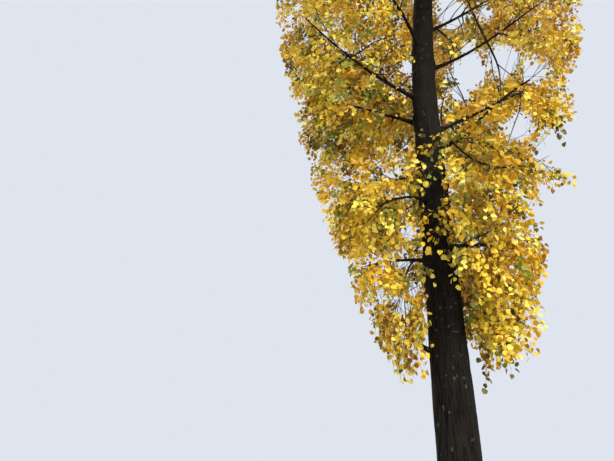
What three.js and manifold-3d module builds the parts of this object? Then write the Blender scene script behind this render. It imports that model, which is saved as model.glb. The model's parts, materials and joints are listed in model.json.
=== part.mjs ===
// A tall poplar in autumn leaf: one trunk, its main boughs and the masses of foliage that they carry.
// Millimetres, +Z up. The origin is the centre of the flat cut under the trunk, at ground level.
// +X is the right-hand side of the tree and +Y its back.

import * as THREE from 'three';
import { mergeVertices } from 'three/addons/utils/BufferGeometryUtils.js';
import Module from 'manifold-3d';

const wasm = await Module();
wasm.setup();

// Trunk
const treeHeight = 22000;
const trunkTop = 20300;
const breastHeight = 1300;
const breastDiameter = 402;
const taperPower = 0.6;
const flareSpread = 95;
const flareHeight = 380;
const rootLobes = 5;
const lobeDepth = 0.22;
const lobeTurn = 46;
const sweepStart = 6300;
const sweepReach = 500;
const swayReach = 70;
const swayLength = 14000;
const trunkSides = 16;
const trunkRings = 28;
const ringCrowding = 1.25;

// Broken stub of a dead twig, low on the left
const stubHeight = 2880;
const stubTurn = 186;
const stubRise = 24;
const stubLength = 300;
const stubRadius = 24;

// Outline of the crown
const crownBase = 2300;
const crownWidest = 10500;
const crownRadius = 2700;
const lowerPower = 0.6;
const upperBend = 1.7;
const upperPower = 0.85;

// The narrow slot on the front of the crown where the bare trunk shows
const slotTurn = -108;
const slotFrom = 5300;
const slotTo = 13200;
const slotHalfWidth = 190;

// Boughs: height on the trunk, direction round it from +X, rise above level at the trunk and at the tip
const lowBoughs = [
  { height: 3980, turn: 187, rise: 2, tipRise: -22 },
  { height: 4160, turn: -14, rise: 16, tipRise: -30 },
  { height: 4420, turn: -97, rise: 20, tipRise: -24 },
  { height: 4560, turn: 62, rise: 14, tipRise: -16 },
  { height: 4740, turn: 214, rise: 4, tipRise: -46 },
  { height: 5230, turn: 128, rise: 22, tipRise: -4 },
  { height: 5480, turn: -52, rise: 26, tipRise: -8 },
  { height: 5890, turn: 4, rise: 38, tipRise: 32 },
  { height: 6050, turn: 166, rise: 36, tipRise: 6 },
  { height: 6500, turn: 190, rise: 18, tipRise: 48 },
  { height: 6760, turn: 88, rise: 30, tipRise: 18 },
  { height: 7120, turn: -6, rise: 36, tipRise: 40 },
  { height: 7460, turn: -142, rise: 34, tipRise: 26 },
  { height: 7980, turn: 22, rise: 50, tipRise: 52 },
];
const upperBoughs = 10;
const upperFrom = 8650;
const upperStep = 780;
const upperTurn = 268;
const goldenAngle = 137.508;
const upperRise = 38;
const upperTipRise = 46;
const upperRiseStep = 0.8;
const bareShare = 0.36;
const outlineShare = 0.93;
const slenderness = 0.006;
const collarSwell = 0.7;
const collarLength = 90;
const boughWander = 0.05;
const boughTipRadius = 6;
const boughRootRadius = 8;
const boughTaper = 0.9;
const boughSides = 6;
const boughSteps = 4;
const boughCrowding = 1.3;

// Masses that stand straight on the trunk, above the last bough
const leaderMasses = 7;
const leaderFrom = 16550;
const leaderStep = 560;
const leaderRise = 44;
const leaderTipRise = 58;

// The leading shoot above the trunk's own tip
const shootShare = 0.9;
const shootLean = -60;
const shootRadius = 26;
const shootTipRadius = 8;
const shootHalf = [0.42, 0.42, 0.5];
const shootMiddle = 0.6;

// The space of each mass of foliage, in shares of its bough's reach
const massMiddle = 0.66;
const massHalf = [0.56, 0.92, 0.74];
const leaderMiddle = 0.58;
const leaderLong = 0.56;
const leastHalf = 760;
const outlineSlack = 1.03;
const outlineRoom = 60;
const spaceMargin = 22;
const flatness = 1.25;

// The lowest masses hang down from their boughs.
const hangFrom = 6600;
const hangOver = 2600;
const hangDrop = 295;
const hangStretch = 210;

// Stems and twigs
const clearance = 0.3;
const stemSides = 3;
const stemSteps = 4;
const stemShare = 0.72;
const stemTipRadius = 20;
const stemEnd = 0.9;
const stemBladesFrom = 0.62;
const twigsPerMass = 6;
const twigChoices = 16;
const twigReach = [0.3, 0.72];
const twigLean = 0.6;
const twigRadius = 14;
const twigTipRadius = 12;
const twigOfStem = 0.46;
const shortestTwig = 160;
const twigRoom = 24;
const twigJoint = 0.18;
const collarRoom = 90;

// Leaves, each one standing for a spray
const leafLength = 1200;
const leafWidth = 0.76;
const leafThickness = 24;
const wideShare = 0.5;
const thickShare = 0.16;
const fullHalf = 1100;
const rootSunk = 0.6;
const stemBladeShares = [0.96, 0.6, 0.2];
const twigBladeShares = [0.94, 0.62];
const bladeSpreads = [48, 62, 76];
const bladeShrinks = [1, 0.88, 0.76, 0.64, 0.52];
const bladeRoom = 60;
const bladeStalk = 45;
const bladeApart = 1.05;
const bladeTests = { along: [0.12, 0.3, wideShare, 0.62, 0.8, 1], across: [-1, -0.5, 0, 0.5, 1] };

// Straight lengths that a limb, a stem and a twig are tested in
const chainSteps = 10;
const nearSteps = 20;
const lineSteps = 8;

const barkColour = 0x2b2621;
const boughColour = 0x332c26;
const leafColour = 0xd9a21b;

const radians = Math.PI / 180;
const mix = (from, to, share) => from + (to - from) * share;

// The trunk's centre line sweeps a little to the right above sweepStart and comes back at the top.
function trunkCentre(height) {
  const climb = Math.max(0, (height - sweepStart) / (treeHeight - sweepStart));
  const sweep = (sweepReach * (1 - Math.cos(2 * Math.PI * climb))) / 2;
  const sway = (swayReach * (1 - Math.cos((2 * Math.PI * height) / swayLength))) / 2;
  return new THREE.Vector3(sweep, sway, height);
}

function trunkRadius(height) {
  const taper = ((treeHeight - height) / (treeHeight - breastHeight)) ** taperPower;
  return (breastDiameter / 2) * taper;
}

// Distance from the trunk's centre line to the outline of the crown
function crownReach(height) {
  if (height <= crownBase || height >= treeHeight) return 0;
  if (height < crownWidest) {
    return crownRadius * ((height - crownBase) / (crownWidest - crownBase)) ** lowerPower;
  }
  const up = (height - crownWidest) / (treeHeight - crownWidest);
  return crownRadius * (1 - up ** upperBend) ** upperPower;
}

// A limb runs out from the trunk's centre line to the outline of the crown, share 0 to 1.
function makeLimb({ height, turn, rise, tipRise }) {
  const out = new THREE.Vector3(Math.cos(turn * radians), Math.sin(turn * radians), 0);
  const side = new THREE.Vector3(-out.y, out.x, 0);
  const slope = Math.tan(rise * radians);
  const tipSlope = Math.tan(tipRise * radians);
  const climbOver = (run) => ((slope + tipSlope) / 2) * run;
  let run = crownReach(height);
  for (let round = 0; round < 12; round += 1) {
    run = mix(run, outlineShare * crownReach(height + climbOver(run)), 0.5);
  }
  const start = trunkCentre(height);
  const wander = boughWander * run * Math.sin(height);
  const pointAt = (share) => {
    const climb = run * (slope * share + ((tipSlope - slope) * share * share) / 2);
    const drift = wander * Math.sin(Math.PI * share * 1.5);
    return start.clone().addScaledVector(out, run * share).addScaledVector(side, drift)
      .add(new THREE.Vector3(0, 0, climb));
  };
  const rootRadius = boughRootRadius + slenderness * run;
  const radiusAt = (share) => {
    const fromBark = Math.max(0, run * share - trunkRadius(height));
    const collar = 1 + collarSwell * Math.exp(-fromBark / collarLength);
    return collar * (boughTipRadius + rootRadius * (1 - share) ** boughTaper);
  };
  return { height, out, side, run, pointAt, radiusAt };
}

// Three directions at a place on a line: ahead along it, across it near the given side, and over both
function frameAt({ pointAt, side, guide = pointAt }, share, reach = 0.02) {
  const ahead = guide(share + reach).sub(guide(share - reach)).normalize();
  const across = side.clone().addScaledVector(ahead, -side.dot(ahead)).normalize();
  return { ahead, across, over: across.clone().cross(ahead) };
}

// The same line in straight lengths, so that what is rooted on it meets the shell's own centre
function straightened({ pointAt, side }, from, to, steps) {
  const spots = [];
  for (let step = 0; step <= steps; step += 1) spots.push(pointAt(mix(from, to, step / steps)));
  const straightAt = (share) => {
    const place = ((share - from) / (to - from)) * steps;
    const step = Math.min(steps - 1, Math.max(0, Math.floor(place)));
    return spots[step].clone().lerp(spots[step + 1], place - step);
  };
  return { pointAt: straightAt, side, guide: pointAt };
}

// A closed tapering shell round a line from one share of it to another
function taperedShell({ line, radiusAt, from = 0, to = 1, sides, steps, crowd = 1 }) {
  const shell = new THREE.CylinderGeometry(1, 1, 1, sides, steps);
  const spots = shell.getAttribute('position');
  for (let index = 0; index < spots.count; index += 1) {
    const share = mix(from, to, (spots.getY(index) + 0.5) ** crowd);
    const { across, over } = frameAt(line, share);
    const spot = line.pointAt(share)
      .addScaledVector(across, spots.getX(index) * radiusAt(share))
      .addScaledVector(over, spots.getZ(index) * radiusAt(share));
    spots.setXYZ(index, spot.x, spot.y, spot.z);
  }
  return shell;
}

function solidOf(geometry) {
  geometry.deleteAttribute('normal');
  geometry.deleteAttribute('uv');
  const joined = mergeVertices(geometry, 0.001);
  return new wasm.Manifold(new wasm.Mesh({
    numProp: 3,
    vertProperties: new Float32Array(joined.getAttribute('position').array),
    triVerts: new Uint32Array(joined.index.array),
  }));
}

function meshOf(solid, name, material) {
  const { vertProperties, triVerts, numProp } = solid.getMesh();
  const spots = new Float32Array((vertProperties.length / numProp) * 3);
  for (let index = 0; index < spots.length; index += 1) {
    spots[index] = vertProperties[Math.floor(index / 3) * numProp + (index % 3)];
  }
  const geometry = new THREE.BufferGeometry();
  geometry.setAttribute('position', new THREE.BufferAttribute(spots, 3));
  geometry.setIndex(new THREE.BufferAttribute(new Uint32Array(triVerts), 1));
  geometry.computeVertexNormals();
  const mesh = new THREE.Mesh(geometry, material);
  mesh.name = name;
  return mesh;
}

// Root flare: five low lobes that die out a little above the ground
function flareAt(angle, height) {
  const foot = Math.exp(-height / flareHeight);
  const lobes = 1 + lobeDepth * Math.sin(rootLobes * angle + lobeTurn * radians);
  return 1 + (foot * flareSpread * lobes) / trunkRadius(0);
}

// The trunk with its rings level, so that the cut at the ground is flat.
// Grown by a gap, it cuts what meets it.
function trunkSolid(gap) {
  const level = new THREE.Vector3(1, 0, 0);
  const shell = new THREE.CylinderGeometry(1, 1, 1, trunkSides, trunkRings);
  const spots = shell.getAttribute('position');
  for (let index = 0; index < spots.count; index += 1) {
    const height = trunkTop * (spots.getY(index) + 0.5) ** ringCrowding;
    const angle = Math.atan2(spots.getZ(index), spots.getX(index));
    const off = Math.hypot(spots.getX(index), spots.getZ(index));
    const radius = off * (trunkRadius(height) * flareAt(angle, height) + gap);
    const centre = trunkCentre(height);
    const around = level.clone().applyAxisAngle(new THREE.Vector3(0, 0, 1), -angle).multiplyScalar(radius);
    spots.setXYZ(index, centre.x + around.x, centre.y + around.y, height);
  }
  return solidOf(shell);
}

function stubSolid() {
  const limb = makeLimb({ height: stubHeight, turn: stubTurn, rise: stubRise, tipRise: stubRise });
  return solidOf(taperedShell({
    line: limb, radiusAt: () => stubRadius, to: stubLength / limb.run, sides: boughSides, steps: 1,
  }));
}

function boughSolid(limb, trunkCut) {
  return solidOf(taperedShell({
    line: limb, radiusAt: limb.radiusAt, to: bareShare, sides: boughSides, steps: boughSteps,
    crowd: boughCrowding,
  })).subtract(trunkCut);
}

// A mass of foliage keeps to its own space: an ellipsoid round its middle, shared out where two meet.
function massOnBough(name, limb) {
  const hang = Math.max(0, (hangFrom - limb.height) / hangOver);
  const middle = limb.pointAt(massMiddle);
  middle.z -= hang * hangDrop;
  const half = new THREE.Vector3(
    massHalf[0] * limb.run,
    Math.max(massHalf[1] * limb.run, leastHalf),
    Math.max(massHalf[2] * limb.run, leastHalf) + hang * hangStretch,
  );
  return { name, limb, middle, half, from: bareShare, onTrunk: false };
}

function massOnTrunk(name, limb) {
  const half = new THREE.Vector3(
    leaderLong * limb.run,
    Math.max(massHalf[1] * limb.run, leastHalf),
    Math.max(massHalf[2] * limb.run, leastHalf),
  );
  return { name, limb, middle: limb.pointAt(leaderMiddle), half, from: 0, onTrunk: true };
}

// The mass at the very top stands on the trunk's own tip, round the leading shoot.
function topMass() {
  const start = trunkCentre(trunkTop);
  const rise = treeHeight - trunkTop;
  const run = rise * shootShare;
  const limb = {
    height: trunkTop,
    out: new THREE.Vector3(1, 0, 0),
    side: new THREE.Vector3(0, 1, 0),
    run,
    pointAt: (share) => start.clone().add(new THREE.Vector3(shootLean * share * share, 0, run * share)),
    radiusAt: (share) => mix(shootRadius, shootTipRadius, share),
  };
  const half = new THREE.Vector3(...shootHalf).multiplyScalar(rise);
  return { name: 'foliage_top', limb, middle: limb.pointAt(shootMiddle), half, from: 0, onTrunk: false };
}

const limbs = [];
for (const row of lowBoughs) limbs.push(makeLimb(row));
for (let count = 0; count < upperBoughs; count += 1) {
  limbs.push(makeLimb({
    height: upperFrom + upperStep * count,
    turn: upperTurn + goldenAngle * count,
    rise: upperRise + count * upperRiseStep,
    tipRise: upperTipRise + count * upperRiseStep,
  }));
}
const leaders = [];
for (let count = 0; count < leaderMasses; count += 1) {
  leaders.push(makeLimb({
    height: leaderFrom + leaderStep * count,
    turn: upperTurn + goldenAngle * (upperBoughs + count),
    rise: leaderRise + count,
    tipRise: leaderTipRise + count,
  }));
}

const label = (number) => String(number + 1).padStart(2, '0');
const masses = [
  ...limbs.map((limb, index) => massOnBough(`foliage_bough_${label(index)}`, limb)),
  ...leaders.map((limb, index) => massOnTrunk(`foliage_leader_${label(index)}`, limb)),
  topMass(),
];

// Heights count a little more than widths when two masses share the space between them.
function pull({ middle, half }, spot) {
  const size = (half.x + half.y + half.z * flatness) / 3;
  const away = new THREE.Vector3(spot.x - middle.x, spot.y - middle.y, (spot.z - middle.z) * flatness);
  return away.lengthSq() - size * size;
}

function inSlot(spot, centre) {
  if (spot.z < slotFrom || spot.z > slotTo) return false;
  const away = spot.clone().sub(centre);
  const ahead = away.x * Math.cos(slotTurn * radians) + away.y * Math.sin(slotTurn * radians);
  const aside = away.x * Math.sin(slotTurn * radians) - away.y * Math.cos(slotTurn * radians);
  return ahead > 0 && Math.abs(aside) < slotHalfWidth;
}

function inSpace(mass, spot) {
  const { middle, half, limb } = mass;
  const away = spot.clone().sub(middle);
  const place = [away.dot(limb.out) / half.x, away.dot(limb.side) / half.y, away.z / half.z];
  if (Math.hypot(...place) > 1) return false;
  const centre = trunkCentre(spot.z);
  const off = Math.hypot(spot.x - centre.x, spot.y - centre.y);
  if (mass.name !== 'foliage_top' && off > outlineSlack * crownReach(spot.z) + outlineRoom) return false;
  if (inSlot(spot, centre)) return false;
  const own = pull(mass, spot);
  return masses.every((other) => {
    const apart = 2 * other.middle.distanceTo(middle) * flatness;
    return other === mass || pull(other, spot) - own > spaceMargin * apart;
  });
}

// Each limb as a chain of short straight lengths, to keep twigs and leaves clear of it
function chainOf(limb) {
  const chain = [];
  for (let step = 0; step <= chainSteps; step += 1) {
    const share = step / chainSteps;
    chain.push({ spot: limb.pointAt(share), radius: limb.radiusAt(share) });
  }
  return chain;
}
const chains = masses.map((mass) => ({ limb: mass.limb, chain: chainOf(mass.limb) }));

function clearOfLimbs(mass, spot, room) {
  if (spot.z < trunkTop + room) {
    const centre = trunkCentre(spot.z);
    if (Math.hypot(spot.x - centre.x, spot.y - centre.y) < trunkRadius(spot.z) + room) return false;
  }
  const line = new THREE.Line3();
  const near = new THREE.Vector3();
  for (const { limb, chain } of chains) {
    const own = limb === mass.limb;
    for (let step = 0; step < chainSteps; step += 1) {
      if (own && (step + 1) / chainSteps > mass.from) continue;
      line.set(chain[step].spot, chain[step + 1].spot);
      line.closestPointToPoint(spot, true, near);
      if (near.distanceTo(spot) < chain[step].radius + room) return false;
    }
  }
  return true;
}

// Stems and twigs are three-sided. This is the way out through the middle of one face.
function faceOut({ across, over }, face) {
  const angle = (60 + 120 * face) * radians;
  return across.clone().multiplyScalar(Math.sin(angle)).addScaledVector(over, Math.cos(angle));
}

function stemOf(mass) {
  const { limb } = mass;
  const from = mass.onTrunk ? 0 : mass.from + clearance / limb.run;
  const side = limb.side.clone().negate();
  const line = straightened({ pointAt: limb.pointAt, side }, from, stemEnd, stemSteps);
  const radiusAt = (share) => Math.max(stemTipRadius, stemShare * limb.radiusAt(share));
  return { line, radiusAt, from, to: stemEnd, length: limb.run };
}

// A twig runs from its stem to its own place in the mass's space: of several seeded places it takes
// the one that lies furthest from the leaves that are there already.
let seed = 20117;
function chance() {
  seed = (seed * 16807) % 2147483647;
  return seed / 2147483647;
}

const leafCentres = [];
function roomAt(spot, others = []) {
  let nearest = Infinity;
  for (const centre of leafCentres) nearest = Math.min(nearest, centre.distanceTo(spot));
  for (const centre of others) nearest = Math.min(nearest, centre.distanceTo(spot));
  return nearest;
}

function planTwig(mass, stem, index, tips) {
  const places = [];
  for (let count = 0; count < twigChoices; count += 1) {
    const turn = 2 * Math.PI * chance();
    const level = 2 * chance() - 1;
    const depth = mix(twigReach[0], twigReach[1], Math.sqrt(chance()));
    const ring = Math.sqrt(1 - level * level);
    const tip = mass.middle.clone()
      .addScaledVector(mass.limb.out, depth * mass.half.x * ring * Math.cos(turn))
      .addScaledVector(mass.limb.side, depth * mass.half.y * ring * Math.sin(turn));
    tip.z += depth * mass.half.z * level;
    if (inSpace(mass, tip)) places.push({ tip, room: roomAt(tip, tips) });
  }
  places.sort((one, two) => two.room - one.room);
  for (const { tip } of places) {
    const twig = twigTo(tip, mass, stem, index);
    if (twig && twigIsFree(mass, twig)) {
      tips.push(tip);
      return twig;
    }
  }
  return null;
}

// The twig leaves its stem a little behind the place nearest to its tip, so that it leans forward.
function twigTo(tip, mass, stem, index) {
  const shareAt = (_, step) => mix(stem.from, stem.to, step / nearSteps);
  const shares = Array.from({ length: nearSteps + 1 }, shareAt);
  const gaps = shares.map((share) => stem.line.pointAt(share).distanceTo(tip));
  const nearest = Math.min(...gaps);
  const bare = mass.onTrunk ? trunkRadius(mass.limb.height) + collarRoom : collarRoom;
  const behind = shares[gaps.indexOf(nearest)] - (twigLean * nearest) / stem.length;
  const share = Math.max(stem.from + bare / stem.length, behind);
  const start = stem.line.pointAt(share);
  const length = start.distanceTo(tip);
  if (length < shortestTwig) return null;
  const roll = goldenAngle * radians * index;
  const ahead = tip.clone().sub(start);
  const side = new THREE.Vector3(Math.cos(roll), Math.sin(roll), 0.5).cross(ahead).normalize();
  const root = Math.min(twigRadius, twigOfStem * stem.radiusAt(share));
  return {
    line: { pointAt: (at) => start.clone().lerp(tip, at), side },
    radiusAt: (at) => mix(root, twigTipRadius, at),
    taken: [],
  };
}

function twigIsFree(mass, twig) {
  const spots = lineOf(twig.line, twigJoint, 1);
  return spots.every((spot) => inSpace(mass, spot) && clearOfLimbs(mass, spot, twigRoom));
}

function lineOf({ pointAt }, from, to) {
  return Array.from({ length: lineSteps + 1 }, (_, step) => pointAt(mix(from, to, step / lineSteps)));
}

// A leaf is a closed blade of eight faces that stands for a spray: a stalk end, two wide corners and a tip.
// It leaves its twig through one face, in the plane of the twig, with its root sunk past the twig's centre.
function bladeShell({ root, along, across, length }) {
  const blade = new THREE.OctahedronGeometry(1, 0);
  const over = across.clone().cross(along);
  const spots = blade.getAttribute('position');
  for (let index = 0; index < spots.count; index += 1) {
    const [u, v, w] = [spots.getX(index), spots.getY(index), spots.getZ(index)];
    const run = length * (Math.max(0, v) + Math.abs(u) * wideShare + Math.abs(w) * thickShare);
    const spot = root.clone()
      .addScaledVector(along, run)
      .addScaledVector(across, (u * leafWidth * length) / 2)
      .addScaledVector(over, (w * leafThickness) / 2);
    spots.setXYZ(index, spot.x, spot.y, spot.z);
  }
  return blade;
}

// Of the faces that are still free and the angles that a leaf may stand at, it takes those with most room.
function planBlade(mass, twig, share, placed) {
  const centre = twig.line.pointAt(share);
  const frame = frameAt(twig.line, share);
  const size = leafLength * Math.min(1, Math.sqrt(mass.half.x / fullHalf));
  for (const shrink of bladeShrinks) {
    let best = null;
    for (const face of [0, 1, 2]) {
      if (twig.taken.includes(face)) continue;
      for (const spread of bladeSpreads) {
        const blade = bladeAt(centre, frame, face, spread * radians, twig.radiusAt(share), size * shrink);
        if (best && roomAt(best.middle) > roomAt(blade.middle)) continue;
        if (bladeIsFree(mass, blade) && !meetsAny(kiteOf(blade), placed)) best = blade;
      }
    }
    if (!best) continue;
    placed.kites.push(kiteOf(best));
    leafCentres.push(best.middle);
    twig.taken.push(best.face);
    return best;
  }
  return null;
}

function bladeAt(centre, { ahead, across: aside, over }, face, lean, radius, length) {
  const out = faceOut({ across: aside, over }, face);
  const along = ahead.clone().multiplyScalar(Math.cos(lean)).addScaledVector(out, Math.sin(lean));
  const across = ahead.clone().multiplyScalar(Math.sin(lean)).addScaledVector(out, -Math.cos(lean));
  const root = centre.clone().addScaledVector(along, (-rootSunk * radius) / Math.sin(lean));
  return { root, along, across, length, face, middle: root.clone().addScaledVector(along, 0.5 * length) };
}

function bladeIsFree(mass, { root, along, across, length }) {
  for (const v of bladeTests.along) {
    const wide = v < wideShare ? v / wideShare : (1 - v) / (1 - wideShare);
    for (const u of bladeTests.across) {
      const spot = root.clone()
        .addScaledVector(along, v * length)
        .addScaledVector(across, (u * wide * leafWidth * length) / 2);
      if (!inSpace(mass, spot) || !clearOfLimbs(mass, spot, bladeRoom)) return false;
    }
  }
  return true;
}

// Blades of one mass keep apart, so that each meets only its own twig.
function kiteOf({ root, along, across, length }) {
  const wide = root.clone().addScaledVector(along, wideShare * length);
  const halfWidth = (bladeApart * leafWidth * length) / 2;
  return [
    root.clone().addScaledVector(along, bladeStalk),
    wide.clone().addScaledVector(across, halfWidth),
    root.clone().addScaledVector(along, bladeApart * length),
    wide.clone().addScaledVector(across, -halfWidth),
  ];
}

const sheetsOf = (kite) => [[kite[0], kite[1], kite[2]], [kite[0], kite[2], kite[3]]];
const edgesOf = (kite) => kite.map((spot, at) => [spot, kite[(at + 1) % kite.length]]);
const edgesAlong = (line) => line.slice(1).map((spot, at) => [line[at], spot]);

function pierces(edges, sheets) {
  const ray = new THREE.Ray();
  const hit = new THREE.Vector3();
  return edges.some(([from, to]) => {
    const length = from.distanceTo(to);
    ray.set(from, to.clone().sub(from).divideScalar(length));
    const stops = (sheet) => ray.intersectTriangle(...sheet, false, hit) && hit.distanceTo(from) < length;
    return sheets.some(stops);
  });
}

function meetsAny(kite, placed) {
  const sheets = sheetsOf(kite);
  if (placed.lines.some((line) => pierces(edgesAlong(line), sheets))) return true;
  const cross = (other) => pierces(edgesOf(kite), sheetsOf(other)) || pierces(edgesOf(other), sheets);
  return placed.kites.some(cross);
}

function woodSolid({ line, radiusAt }, from, to, steps) {
  return solidOf(taperedShell({ line, radiusAt, from, to, sides: stemSides, steps }));
}

// One mass: its stem, the leaves at the stem's end, and twigs with their own leaves, all fused together
function massSolid(mass, trunkCut) {
  const stem = stemOf(mass);
  const stemTip = {
    line: { pointAt: (at) => stem.line.pointAt(mix(stemBladesFrom, stem.to, at)), side: stem.line.side },
    radiusAt: () => stemTipRadius,
    taken: [],
  };
  const placed = { kites: [], lines: [lineOf(stem.line, stem.from, stem.to)] };
  const bladesOn = (twig, shares) => shares
    .map((share) => planBlade(mass, twig, share, placed))
    .filter((blade) => blade)
    .map((blade) => solidOf(bladeShell(blade)));
  const pieces = [woodSolid(stem, stem.from, stem.to, stemSteps), ...bladesOn(stemTip, stemBladeShares)];
  const tips = [];
  for (let index = 0; index < twigsPerMass; index += 1) {
    const twig = planTwig(mass, stem, index, tips);
    if (!twig) continue;
    const line = lineOf(twig.line, twigJoint, 1);
    if (placed.kites.some((kite) => pierces(edgesAlong(line), sheetsOf(kite)))) continue;
    placed.lines.push(line);
    const blades = bladesOn(twig, twigBladeShares);
    if (blades.length > 0) pieces.push(woodSolid(twig, 0, 1, 1), ...blades);
    else placed.lines.pop();
  }
  const whole = wasm.Manifold.union(pieces);
  return largestPiece(mass.onTrunk ? whole.subtract(trunkCut) : whole);
}

function largestPiece(solid) {
  const found = solid.decompose();
  found.sort((one, two) => two.volume() - one.volume());
  return found[0];
}

const matt = (color, roughness) => new THREE.MeshStandardMaterial({ color, roughness, metalness: 0 });
const bark = matt(barkColour, 0.95);
const limbBark = matt(boughColour, 0.9);
const foliage = matt(leafColour, 0.7);
foliage.flatShading = true;

const tree = new THREE.Group();
const trunkCut = trunkSolid(clearance / Math.cos(Math.PI / trunkSides));
tree.add(meshOf(trunkSolid(0).add(stubSolid()), 'trunk', bark));
limbs.forEach((limb, index) => {
  tree.add(meshOf(boughSolid(limb, trunkCut), `bough_${label(index)}`, limbBark));
});
masses.forEach((mass) => {
  tree.add(meshOf(massSolid(mass, trunkCut), mass.name, foliage));
});

export default tree;
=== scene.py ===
import json
import math

import bpy
import numpy as np
from mathutils import Matrix, Vector, noise

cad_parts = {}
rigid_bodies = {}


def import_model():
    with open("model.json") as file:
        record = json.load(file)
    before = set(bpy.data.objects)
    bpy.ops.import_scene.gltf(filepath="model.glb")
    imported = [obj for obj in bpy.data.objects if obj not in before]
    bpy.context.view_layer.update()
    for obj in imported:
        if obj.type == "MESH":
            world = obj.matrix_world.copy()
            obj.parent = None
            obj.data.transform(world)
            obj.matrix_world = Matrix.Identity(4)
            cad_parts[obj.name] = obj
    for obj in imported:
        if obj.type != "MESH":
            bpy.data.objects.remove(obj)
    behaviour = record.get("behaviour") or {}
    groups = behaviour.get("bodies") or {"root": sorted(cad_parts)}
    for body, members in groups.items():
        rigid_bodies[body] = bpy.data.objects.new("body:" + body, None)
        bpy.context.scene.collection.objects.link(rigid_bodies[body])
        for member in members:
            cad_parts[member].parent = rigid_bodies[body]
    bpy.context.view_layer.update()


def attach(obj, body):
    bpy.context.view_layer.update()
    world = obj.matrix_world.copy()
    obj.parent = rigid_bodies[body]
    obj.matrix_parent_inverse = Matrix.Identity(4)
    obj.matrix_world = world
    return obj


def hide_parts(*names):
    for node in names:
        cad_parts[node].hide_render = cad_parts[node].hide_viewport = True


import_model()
print("stage: frame loaded")

radians = math.pi / 180
goldenTurn = 137.508 * radians
rng = np.random.default_rng(20117)


def mix(start, end, share):
    return start + (end - start) * share


def unit(vectors):
    return vectors / np.maximum(np.linalg.norm(vectors, axis=-1, keepdims=True), 1e-9)


def dot(one, two):
    return np.sum(one * two, axis=-1)


# The tree's own form, as the solids have it: heights, lengths and radii in metres, turns in degrees from +X
stem = {
    "height": 22.0, "top": 20.3, "breastHeight": 1.3, "breastRadius": 0.201, "taperPower": 0.6,
    "flareSpread": 0.095, "flareHeight": 0.38, "rootLobes": 5, "lobeDepth": 0.22, "lobeTurn": 46,
    "sweepStart": 6.3, "sweepReach": 0.5, "swayReach": 0.07, "swayLength": 14.0,
}
crown = {
    "base": 2.3, "widest": 10.5, "radius": 2.70, "lowerPower": 0.6, "upperBend": 1.7, "upperPower": 0.85,
    "slotTurn": -108, "slotFrom": 5.3, "slotTo": 13.2, "slotHalfWidth": 0.19,
    "slack": 1.03, "room": 0.06, "margin": 0.022, "flatness": 1.25, "shownRoom": 0.25,
}
boughRule = {
    "bareShare": 0.36, "outlineShare": 0.93, "slenderness": 0.006, "rootRadius": 0.008, "tipRadius": 0.006,
    "taper": 0.9, "collarSwell": 0.7, "collarLength": 0.09, "wander": 0.05, "wanderSeed": 1000,
}
lowBoughs = [  # height, turn, rise at the trunk, rise at the tip
    (3.98, 187, 2, -22), (4.16, -14, 16, -30), (4.42, -97, 20, -24), (4.56, 62, 14, -16), (4.74, 214, 4, -46),
    (5.23, 128, 22, -4), (5.48, -52, 26, -8), (5.89, 4, 38, 32), (6.05, 166, 36, 6), (6.50, 190, 18, 48),
    (6.76, 88, 30, 18), (7.12, -6, 36, 40), (7.46, -142, 34, 26), (7.98, 22, 50, 52),
]
upperRule = {
    "count": 10, "start": 8.65, "step": 0.78, "turn": 268, "rise": 38, "tipRise": 46, "riseStep": 0.8,
}
leaderRule = {"count": 7, "start": 16.55, "step": 0.56, "rise": 44, "tipRise": 58}
massRule = {
    "middle": 0.66, "half": (0.56, 0.92, 0.74), "leaderMiddle": 0.58, "leaderLong": 0.56, "least": 0.76,
    "hangFrom": 6.6, "hangOver": 2.6, "hangDrop": 0.295, "hangStretch": 0.21, "hangBelow": 0.22,
}
shootRule = {
    "share": 0.9, "lean": -0.06, "radius": 0.026, "tipRadius": 0.008, "bare": 0.04,
    "half": (0.42, 0.42, 0.5), "middle": 0.6,
}


def trunkCentre(height):
    climb = np.maximum(0, (height - stem["sweepStart"]) / (stem["height"] - stem["sweepStart"]))
    sweep = stem["sweepReach"] * (1 - np.cos(2 * np.pi * climb)) / 2
    sway = stem["swayReach"] * (1 - np.cos(2 * np.pi * height / stem["swayLength"])) / 2
    return np.stack([sweep, sway, height + 0 * sweep], axis=-1)


def trunkRadius(height):
    left = np.maximum(stem["height"] - height, 0) / (stem["height"] - stem["breastHeight"])
    return stem["breastRadius"] * left ** stem["taperPower"]


def crownReach(height):
    low = np.clip((height - crown["base"]) / (crown["widest"] - crown["base"]), 0, 1)
    up = np.clip((height - crown["widest"]) / (stem["height"] - crown["widest"]), 0, 1)
    below = low ** crown["lowerPower"]
    above = (1 - up ** crown["upperBend"]) ** crown["upperPower"]
    return crown["radius"] * below * above


def fromTrunk(spots):  # how far out spots are from the trunk's centre line
    return np.linalg.norm((spots - trunkCentre(spots[:, 2]))[:, :2], axis=-1)


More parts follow.
